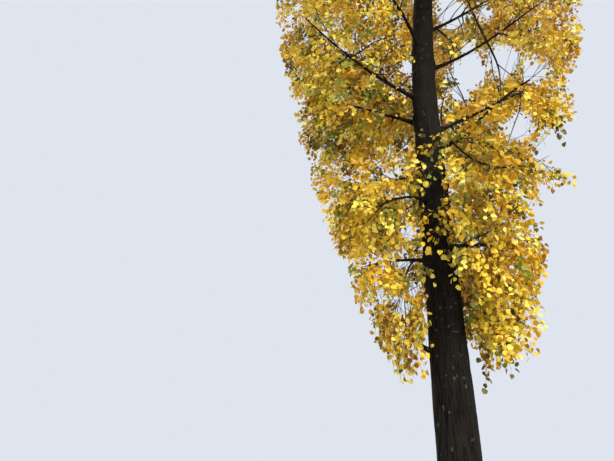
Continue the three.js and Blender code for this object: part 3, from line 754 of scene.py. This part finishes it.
# Side branches: each grows to its own place in the mass's space, from the limb or from an earlier branch
branchRule = {
    "perMass": 42, "fullSize": 1.35, "mostShare": 1.25, "fewest": 9, "choices": 12, "reach": (0.30, 0.93),
    "forward": 0.64, "turnCost": 1.5, "apart": 0.065, "shortest": 0.16,
    "bareFoot": 0.1, "lastFoot": 0.95, "footPlaces": 40, "leastRoot": 0.5, "ease": 0.3,
    "rootRadius": 0.0125, "tipRadius": 0.0024, "thinnest": 0.0036, "ofParent": 0.66, "room": 0.02,
    "taper": 0.8, "shownTaper": 0.7, "sides": 5, "steps": 8, "bendAhead": 0.17, "bendTo": 0.3,
    "lift": 0.12, "hangLift": 0.05, "hangLevel": 0.55, "wander": 0.03, "secondWave": 0.6,
    "skyShare": 0.4, "skyDropped": 0.93,
    "limbLeaves": 0.05, "branchLeaves": 0.14, "shownLeaves": 0.35,  # where leaves begin on each kind
}
branchShares = np.linspace(0, 1, branchRule["steps"] + 1)


def curveThrough(start, bend, end, shares):
    shares = shares[:, None]
    return (1 - shares) ** 2 * start + 2 * shares * (1 - shares) * bend + shares ** 2 * end


def placesFor(mass, tips):  # seeded places for a tip, those with most room first
    rule = branchRule
    turn = rng.uniform(0, 2 * np.pi, rule["choices"])
    level = rng.uniform(-1, 1 - rule["hangLevel"] * mass.hang, rule["choices"])
    depth = mix(rule["reach"][0], rule["reach"][1], np.sqrt(rng.uniform(0, 1, rule["choices"])))
    ring = np.sqrt(1 - level ** 2)
    places = mass.middle + (depth * mass.half[0] * ring * np.cos(turn))[:, None] * mass.limb.out
    places += (depth * mass.half[1] * ring * np.sin(turn))[:, None] * mass.limb.side
    places[:, 2] += depth * mass.half[2] * level
    places = places[inSpace(mass.number, places)]
    if tips and len(places):
        room = np.linalg.norm(places[:, None] - np.array(tips)[None], axis=-1).min(axis=1)
        places = places[np.argsort(-room)]
    return places


def branchOf(line, length, radii, mass, leavesFrom, parent=-1, foot=0, free=0):
    return {"line": line, "length": length, "radii": radii, "mass": mass, "from": leavesFrom,
            "parent": parent, "foot": foot, "free": free}


def taperFrom(thick, power):
    return mix(branchRule["tipRadius"], thick, (1 - branchShares) ** power)


def woodOf(line, radii, number, at):  # the places on a limb or branch that another branch may grow from
    return {"spot": line, "ahead": unit(np.gradient(line, axis=0)), "radius": np.array(radii),
            "parent": np.full(len(line), number), "at": np.array(at)}


def branchTo(mass, tip, wood):  # it leaves its parent at an angle, leaning forward, and wavers a little
    rule = branchRule
    away = tip - wood["spot"]
    gaps = np.linalg.norm(away, axis=-1)
    forward = dot(unit(away), wood["ahead"])
    cost = gaps * (1 + rule["turnCost"] * (forward - rule["forward"]) ** 2)
    pick = int(np.where(wood["radius"] > rule["thinnest"], cost, np.inf).argmin())
    start, length = wood["spot"][pick], gaps[pick]
    if length < rule["shortest"]:
        return None
    bend = start + rule["bendAhead"] * length * wood["ahead"][pick] + rule["bendTo"] * (tip - start)
    bend[2] += (rule["lift"] + rule["hangLift"] * mass.hang) * length
    waves = rng.normal(0, rule["wander"] * length, (2, 3))
    grown = curveThrough(start, bend, tip, branchShares)
    grown += np.sin(2 * np.pi * branchShares)[:, None] * waves[0]
    grown += rule["secondWave"] * np.sin(3 * np.pi * branchShares)[:, None] * waves[1]
    if not (inSpace(mass.number, grown[2:]).all() and clearOfLimbs(grown[2:], rule["room"]).all()):
        return None
    if hidesSky(grown).mean() > rule["skyShare"] and rng.uniform() < rule["skyDropped"]:
        return None
    root = rule["rootRadius"] * mix(rule["leastRoot"], 1, length)
    thick = min(root, rule["ofParent"] * float(wood["radius"][pick]))
    radii = taperFrom(thick, rule["taper"])
    parent, foot = wood["parent"][pick], wood["at"][pick]
    return branchOf(grown, length, radii, mass.number, rule["branchLeaves"], parent, foot)


def shownLimb(number, radius, places):  # a curve through its places, eased at each
    places = np.array(places)
    along = np.concatenate([[0], np.cumsum(np.linalg.norm(np.diff(places, axis=0), axis=1))])
    grown = np.stack([np.interp(branchShares * along[-1], along, axis) for axis in places.T], axis=1)
    ease = branchRule["ease"]
    grown[1:-1] = (1 - 2 * ease) * grown[1:-1] + ease * (grown[:-2] + grown[2:])
    radii = taperFrom(radius, branchRule["shownTaper"])
    return branchOf(grown, along[-1], radii, number - 1, branchRule["shownLeaves"], free=1)


def growBranches(mass, branches):  # the limb's own outer end first, then branches to the roomiest places
    rule = branchRule
    limb = mass.limb
    own = mix(mass.bare, 1, branchShares)
    length = limb.run * (1 - mass.bare)
    foot = min(mass.bare, float(trunkRadius(limb.height)) / limb.run + rule["bareFoot"])
    shares = np.linspace(foot, rule["lastFoot"], rule["footPlaces"])
    at = np.clip((shares - mass.bare) / (1 - mass.bare), 0, 1)
    wood = woodOf(limb.pointAt(shares), limb.radiusAt(shares), len(branches), at)
    branches.append(branchOf(limb.pointAt(own), length, limb.radiusAt(own), mass.number, rule["limbLeaves"]))
    tips = [limb.pointAt(1.0)]
    share = min(rule["mostShare"], mass.size / rule["fullSize"])
    for _ in range(max(rule["fewest"], round(rule["perMass"] * share))):
        for tip in placesFor(mass, tips):
            branch = branchTo(mass, tip, wood)
            if not branch:
                continue
            tips.append(tip)
            near = np.linalg.norm(wood["spot"] - branch["line"][0], axis=-1) < rule["apart"]
            wood["radius"] = np.where(near, 0, wood["radius"])
            grown = woodOf(branch["line"], branch["radii"], len(branches), branchShares)
            wood = {name: np.concatenate([values, grown[name][2:-1]]) for name, values in wood.items()}
            branches.append(branch)
            break


def tubes(lines, radii, sides):  # lines: how many, steps + 1, 3; radii the same without the last
    ahead = unit(np.gradient(lines, axis=1))
    guide = np.where(np.abs(ahead[:, :1, 2:]) > 0.9, [[[1.0, 0, 0]]], [[[0, 0, 1.0]]])
    across = unit(np.cross(ahead, np.broadcast_to(guide, ahead.shape)))
    over = np.cross(ahead, across)
    turns = np.arange(sides) * 2 * np.pi / sides
    rings = across[:, :, None] * np.cos(turns)[:, None] + over[:, :, None] * np.sin(turns)[:, None]
    spots = lines[:, :, None] + rings * radii[:, :, None, None]
    steps = lines.shape[1]
    first = np.arange(len(lines))[:, None, None] * steps * sides
    ring = np.arange(steps - 1)[None, :, None] * sides
    side = np.arange(sides)[None, None, :]
    after = (side + 1) % sides
    a = first + ring + side
    b = first + ring + after
    c = b + sides
    d = a + sides
    walls = np.stack([np.stack([a, b, c], -1), np.stack([a, c, d], -1)], axis=3).reshape(-1, 3)
    fan = np.arange(1, sides - 1)
    last = first[:, 0] + (steps - 1) * sides
    caps = np.stack([last + 0 * fan, last + fan, last + fan + 1], -1).reshape(-1, 3)
    return spots.reshape(-1, 3), np.concatenate([walls, caps])


def meshPiece(name, spots, triangles, materials, dealt=None):
    mesh = bpy.data.meshes.new(name)
    mesh.vertices.add(len(spots))
    mesh.vertices.foreach_set("co", np.asarray(spots, np.float32).ravel())
    mesh.loops.add(len(triangles) * 3)
    mesh.loops.foreach_set("vertex_index", np.asarray(triangles, np.int32).ravel())
    mesh.polygons.add(len(triangles))
    mesh.polygons.foreach_set("loop_start", np.arange(len(triangles), dtype=np.int32) * 3)
    for material in materials:
        mesh.materials.append(material)
    if dealt is not None:
        mesh.polygons.foreach_set("material_index", np.asarray(dealt, np.int32))
    mesh.update(calc_edges=True)
    piece = bpy.data.objects.new(name, mesh)
    bpy.context.scene.collection.objects.link(piece)
    return piece


# Short shoots along each branch, with the leaves on them: one shoot and its leaves are a spray
shootForm = {
    "gap": 0.090, "fewest": 3, "long": 0.38, "short": 0.26, "lengthVary": (0.7, 1.25), "turnVary": 0.5,
    "spread": 54, "endSpread": 36, "spreadVary": 10, "flat": 0.8, "sag": 0.16,
    "hangSag": 0.55, "hangLong": 0.35, "hangWay": 0.2,
    "radius": 0.0021, "tipRadius": 0.0011, "sides": 3, "steps": 3, "room": 0.02,
    "guide": (0.2, 0.1, 1.0),  # nearly upright, so that a branch hardly ever lies along it
    "cuts": (1, 0.72, 0.5),  # lengths tried until a shoot's tip stays in its mass's space
}
leafForm = {
    "gap": 0.0150, "fewest": 5, "firstAt": 0.06, "length": 0.057, "vary": (0.70, 1.16),
    "stalk": (0.028, 0.062), "stalkWidth": 0.0018, "stalkDroop": 0.15,
    "droop": 0.75, "droopVary": (0.2, 1.25), "wayVary": 0.3,
    "facing": 0.5, "fold": 18, "foldVary": 12, "curl": 0.12, "turnVary": 0.7, "sideVary": 0.25,
    "spread": 58, "spreadVary": 16, "endFrom": 0.97, "endSpread": 0.3, "middle": 0.6, "room": 0.012,
}
leafOutline = [(0, 0), (0.44, 0.14), (0.46, 0.60), (0, 1)]  # half a leaf, across and along
leafFaces = [(0, 1, 3), (0, 3, 5), (0, 4, 2), (0, 5, 4), (0, 6, 7)]  # two halves of two faces, and the stalk


def only(table, which):  # the rows of a table of columns that are kept
    return {name: values[which] for name, values in table.items()}


def alongLine(line, at):
    place = at * (len(line) - 1)
    step = min(int(place), len(line) - 2)
    return line[step] + (line[step + 1] - line[step]) * (place - step), unit(line[step + 1] - line[step])


def growShoots(branches):
    rule = shootForm
    rows = []
    for number, branch in enumerate(branches):
        count = max(rule["fewest"], round(branch["length"] * (1 - branch["from"]) / rule["gap"]))
        hang = masses[branch["mass"]].hang
        for index in range(count + 1):
            at = mix(branch["from"], 1, index / count)
            spot, ahead = alongLine(branch["line"], at)
            side = unit(np.cross(ahead, rule["guide"]))
            over = np.cross(side, ahead)
            turn = goldenTurn * index + rule["turnVary"] * rng.uniform(-1, 1)
            spread = mix(rule["spread"], rule["endSpread"], at) + rule["spreadVary"] * rng.uniform(-1, 1)
            if index == count:
                spread = rng.uniform(0, rule["spreadVary"])
            outward = side * math.cos(turn) + over * math.sin(turn) * rule["flat"]
            way = ahead * math.cos(spread * radians) + outward * math.sin(spread * radians)
            way = unit(way - np.array([0, 0, rule["hangWay"] * hang]))
            length = mix(rule["long"], rule["short"], at) * rng.uniform(*rule["lengthVary"])
            length *= 1 + rule["hangLong"] * hang
            rows.append((*spot, *way, length, branch["mass"], number, at, branch["free"]))
    rows = np.array(rows)
    return {"start": rows[:, :3], "way": rows[:, 3:6], "length": rows[:, 6], "owner": rows[:, 7].astype(int),
            "branch": rows[:, 8].astype(int), "at": rows[:, 9], "free": rows[:, 10] > 0}


def shootLines(shoots):
    hang = np.array([mass.hang for mass in masses])[shoots["owner"]]
    sag = (shootForm["sag"] + shootForm["hangSag"] * hang) * shoots["length"]
    shares = np.linspace(0, 1, shootForm["steps"] + 1)
    reach = shoots["way"] * shoots["length"][:, None]
    lines = shoots["start"][:, None] + reach[:, None] * shares[:, None]
    lines[:, :, 2] -= sag[:, None] * shares ** 2
    return lines


openRule = {"size": 0.55, "over": 0.22, "share": 0.45}  # the small openings all through the crown


def allowed(number, spots, free, room):  # on a limb read from the photo, only the crown's outline counts
    nearOutline = fromTrunk(spots) <= crownReach(spots[:, 2]) + crown["shownRoom"]
    return (inSpace(number, spots) | (free & nearOutline)) & clearOfLimbs(spots, room)


def keptShoots(shoots):  # a shoot whose tip leaves its mass's space is made shorter, or left out
    kept = np.zeros(len(shoots["at"]), bool)
    full = shoots["length"].copy()
    for shorter in shootForm["cuts"]:
        shoots["length"] = np.where(kept, shoots["length"], full * shorter)
        tips = shootLines(shoots)[:, -1]
        for mass in masses:
            mine = np.flatnonzero((shoots["owner"] == mass.number) & ~kept)
            kept[mine] = allowed(mass.number, tips[mine], shoots["free"][mine], shootForm["room"])
    middle = shootLines(shoots)[:, 2]
    bare = noiseAt(middle / openRule["size"], 11) > openRule["over"]
    kept &= ~(bare & (rng.uniform(0, 1, len(kept)) < openRule["share"]))
    kept &= rng.uniform(0, 1, len(kept)) > clearing["skyShoots"] * hidesSky(middle)
    return only(shoots, kept)


def trimmed(branches, shoots):  # a branch ends at its last shoot, or at the last branch that grows from it
    last = np.array([float(branch["free"]) for branch in branches])
    np.maximum.at(last, shoots["branch"], shoots["at"])
    for number in range(len(branches) - 1, -1, -1):
        parent = branches[number]["parent"]
        if last[number] > 0 and parent >= 0:
            last[parent] = max(last[parent], branches[number]["foot"])
    lines = []
    radii = []
    for branch, end in zip(branches, last):
        if end == 0:
            continue
        lines.append([alongLine(branch["line"], at * end)[0] for at in branchShares])
        radii.append(np.interp(branchShares * end, branchShares, branch["radii"]))
    return np.array(lines), np.array(radii)


def growLeaves(lines, shoots):
    rule = leafForm
    counts = np.maximum(rule["fewest"], np.round(shoots["length"] / rule["gap"])).astype(int)
    spray = np.repeat(np.arange(len(lines)), counts)
    index = np.arange(len(spray)) - np.repeat(np.cumsum(counts) - counts, counts)
    share = np.clip(mix(rule["firstAt"], 1, (index + 1) / counts[spray]), 0, 1)
    place = share * shootForm["steps"]
    step = np.minimum(place.astype(int), shootForm["steps"] - 1)
    low, high = lines[spray, step], lines[spray, step + 1]
    foot = low + (high - low) * (place - step)[:, None]
    ahead = unit(high - low)
    many = len(spray)
    above = unit(rng.normal(0, rule["sideVary"], (len(lines), 3)) + [0, 0, 1])[spray]
    side = unit(np.cross(ahead, above))
    over = np.cross(side, ahead)
    turn = np.where(index % 2 == 0, 0, np.pi) + rng.normal(0, rule["turnVary"], many)
    spread = rule["spread"] * np.where(share > rule["endFrom"], rule["endSpread"], 1)
    spread = (spread + rule["spreadVary"] * rng.uniform(-1, 1, many)) * radians
    outward = side * np.cos(turn)[:, None] + over * np.sin(turn)[:, None]
    stalkWay = ahead * np.cos(spread)[:, None] + outward * np.sin(spread)[:, None]
    stalkWay = unit(stalkWay - [0, 0, rule["stalkDroop"]])
    root = foot + stalkWay * rng.uniform(*rule["stalk"], many)[:, None]
    droop = rule["droop"] * rng.uniform(*rule["droopVary"], many)
    way = unit(stalkWay - droop[:, None] * [0, 0, 1] + rng.normal(0, rule["wayVary"], (many, 3)))
    face = rng.normal(0, 1, (many, 3)) + outward * rule["facing"]
    across = unit(np.cross(way, face))
    length = rule["length"] * rng.uniform(*rule["vary"], many)
    fold = rng.normal(rule["fold"], rule["foldVary"], many) * radians
    return {"spray": spray, "foot": foot, "root": root, "way": way, "across": across, "length": length,
            "fold": fold, "owner": shoots["owner"][spray], "free": shoots["free"][spray]}


def keptLeaves(leaves):
    kept = np.zeros(len(leaves["spray"]), bool)
    middle = leaves["root"] + leaves["way"] * leaves["length"][:, None] * leafForm["middle"]
    atOnce = 1500  # how many are tried together, to spare memory
    for number in range(len(masses)):
        mine = np.flatnonzero(leaves["owner"] == number)
        for part in np.array_split(mine, max(1, len(mine) // atOnce)):
            kept[part] = allowed(number, middle[part], leaves["free"][part], leafForm["room"])
    hides = np.maximum(np.maximum(hidesSky(middle), hidesBoughs(middle)), hidesTrunk(middle))
    kept &= rng.uniform(0, 1, len(kept)) > hides
    return only(leaves, kept)


def leafMesh(leaves):
    up = np.cross(leaves["across"], leaves["way"])
    size = leaves["length"][:, None]
    spots = []
    for wide, along in leafOutline:
        for sign in ((0,) if wide == 0 else (1, -1)):
            lift = wide * np.sin(leaves["fold"])[:, None] - leafForm["curl"] * along ** 2
            aside = sign * wide * np.cos(leaves["fold"])[:, None]
            place = along * leaves["way"] + aside * leaves["across"] + lift * up
            spots.append(leaves["root"] + size * place)
    for sign in (1, -1):
        spots.append(leaves["foot"] + sign * leafForm["stalkWidth"] / 2 * leaves["across"])
    spots = np.stack(spots, axis=1)
    triangles = (np.arange(len(spots)) * spots.shape[1])[:, None, None] + np.array(leafFaces)
    return spots, triangles


# Autumn tints as plain colours, dealt out by spray: name, colour, share of the outer and of the inner sprays,
# and how much more of it there is where the crown is warm. The inner sprays take more of the dark olive,
# ochre,
# green and russet tints: partly their own colour, partly painted shade inside the crown
leafTints = [
    ("leaf_lemon", (0.93, 0.77, 0.11), 0.24, 0.09, -0.4),
    ("leaf_gold", (0.87, 0.59, 0.040), 0.32, 0.20, 0.1),
    ("leaf_deep_gold", (0.74, 0.43, 0.018), 0.21, 0.20, 0.4),
    ("leaf_amber", (0.50, 0.25, 0.011), 0.07, 0.09, 0.8),
    ("leaf_russet", (0.20, 0.085, 0.008), 0.02, 0.07, 0.7),
    ("leaf_ochre", (0.36, 0.27, 0.018), 0.07, 0.15, -0.1),
    ("leaf_olive", (0.14, 0.125, 0.011), 0.04, 0.13, -0.4),
    ("leaf_green", (0.28, 0.34, 0.035), 0.03, 0.07, -0.8),
]
tintRule = {"patch": 1.5, "strength": 1.3, "warmSide": 0.3, "leastReach": 0.3}


def dealTints(tips):
    # Sprays in front of the trunk count as inner and cool, so they take the darker olive and ochre tints:
    # painted shade
    shaded = overTrunk(tips, clearing["shadeWide"])[0]
    reach = np.maximum(crownReach(tips[:, 2]), tintRule["leastReach"])
    outer = np.clip(fromTrunk(tips) / reach, 0, 1) * (1 - shaded)
    warm = noiseAt(tips / tintRule["patch"], 10) * tintRule["strength"]
    warm = np.clip(warm + tintRule["warmSide"] * tips[:, 0] - shaded, -1, 1)
    outside, inside, warmth = np.array([tint[2:] for tint in leafTints]).T
    shares = mix(inside, outside, outer[:, None]) * np.exp(warm[:, None] * warmth)
    steps = np.cumsum(shares / shares.sum(axis=1, keepdims=True), axis=1)
    return (rng.uniform(0, 1, len(tips))[:, None] > steps[:, :-1]).sum(axis=1)


leafPieces = {"most": 190000, "fewest": 3, "share": 0.35}


def groupsOf(perMass):  # masses from the ground up, in groups whose leaves make one piece each
    groups = [[]]
    filled = 0
    for number in np.argsort([mass.middle[2] for mass in masses]):
        if filled + perMass[number] > leafPieces["most"]:
            groups.append([])
            filled = 0
        groups[-1].append(int(number))
        filled += perMass[number]
    return groups


def addTwigs(name, lines, radii, sides, twigBark):
    spots, faces = tubes(lines, radii, sides)
    piece = meshPiece(name, spots, faces, [twigBark])
    finish(piece, "limb_bark", [mass.name for mass in masses])
    print("stage:", name, len(faces), "triangles")


def addFoliage(twigBark, tints):
    branches = []
    for mass in masses:
        growBranches(mass, branches)
    branches += [shownLimb(number, radius, places) for number, radius, _, places in shownLimbs]
    shoots = keptShoots(growShoots(branches))
    lines = shootLines(shoots)
    grown = growLeaves(lines, shoots)
    leaves = keptLeaves(grown)
    most = np.bincount(grown["spray"], minlength=len(lines)) * leafPieces["share"]
    leafy = np.bincount(leaves["spray"], minlength=len(lines)) >= np.maximum(most, leafPieces["fewest"])
    branchLines, branchRadii = trimmed(branches, only(shoots, leafy))
    addTwigs("side_branches", branchLines, branchRadii, branchRule["sides"], twigBark)
    taper = np.linspace(shootForm["radius"], shootForm["tipRadius"], shootForm["steps"] + 1)
    shootRadii = np.broadcast_to(taper, lines[leafy].shape[:2])
    addTwigs("shoots", lines[leafy], shootRadii, shootForm["sides"], twigBark)

    leaves = only(leaves, leafy[leaves["spray"]])
    tint = dealTints(lines[:, 2])
    print("stage:", len(branchLines), "branches,", leafy.sum(), "sprays,", len(leaves["spray"]), "leaves")
    spots, triangles = leafMesh(leaves)
    perMass = np.bincount(leaves["owner"], minlength=len(masses)) * len(leafFaces)
    for count, group in enumerate(groupsOf(perMass)):
        mine = np.isin(leaves["owner"], group)
        faces = triangles[: int(mine.sum())].reshape(-1, 3)
        dealt = np.repeat(tint[leaves["spray"][mine]], len(leafFaces))
        made = meshPiece(f"leaves_{count + 1}", spots[mine].reshape(-1, 3), faces, tints, dealt)
        finish(made, "autumn_foliage", [masses[number].name for number in group])
        print("stage:", made.name, len(faces), "triangles for", len(group), "masses")


# Floor, light and camera
studio = {"floorSize": 260, "skyColour": (0.86, 0.91, 1.0, 1), "skyStrength": 0.86}
floorLook = ((0.50, 0.495, 0.485), 0.9, 0.2)  # colour, roughness and specular level
suns = [  # name, turn in degrees, strength, how wide it looks in degrees, colour
    ("key", (56, 0, 20), 3.1, 20, (1.0, 0.96, 0.88)),
    ("rim", (-58, 0, 18), 1.8, 30, (1.0, 0.92, 0.78)),
]


def addFloor():
    deselect()
    bpy.ops.mesh.primitive_plane_add(size=studio["floorSize"], location=(0, 0, 0))
    floor = bpy.context.object
    floor.name = "floor"
    floor.data.materials.append(makePlain("floor_paint", *floorLook))


def addSun(name, turn, strength, softness, colour):
    deselect()
    bpy.ops.object.light_add(type="SUN", location=(0, 0, 30), rotation=[angle * radians for angle in turn])
    sun = bpy.context.object
    sun.name = name
    sun.data.energy = strength
    sun.data.angle = softness * radians
    sun.data.color = colour


def addLight():
    world = bpy.data.worlds.new("studio")
    world.use_nodes = True
    background = world.node_tree.nodes["Background"].inputs
    background["Color"].default_value = studio["skyColour"]
    background["Strength"].default_value = studio["skyStrength"]
    bpy.context.scene.world = world
    bpy.context.scene.view_settings.view_transform = "Standard"
    for sun in suns:
        addSun(*sun)


def addCamera():
    deselect()
    right, up, forward = viewAxes()
    turned = Matrix((right, up, -forward)).transposed()
    bpy.ops.object.camera_add(location=view["place"], rotation=turned.to_euler())
    camera = bpy.context.object
    camera.name = "camera"
    camera.data.sensor_width = view["sensorWidth"]
    camera.data.lens = view["focalPixels"] / view["frameWidth"] * view["sensorWidth"]
    camera.data.clip_start = view["near"]
    camera.data.clip_end = view["far"]
    camera.data.dof.use_dof = False
    bpy.context.scene.camera = camera


addCamera()
addFloor()
addLight()
trunkBark = makeBark("trunk_bark", barkLook)
limbBark = makeBark("limb_bark", limbLook)
twigBark = makePlain("twig_bark", *twigLook)
tints = [makePlain(name, colour, *leafLook) for name, colour, *_ in leafTints]
addTrunk(trunkBark)
print("stage: trunk made")
addBoughs(limbBark)
addStub(trunkBark)
print("stage: boughs made")
addFoliage(twigBark, tints)
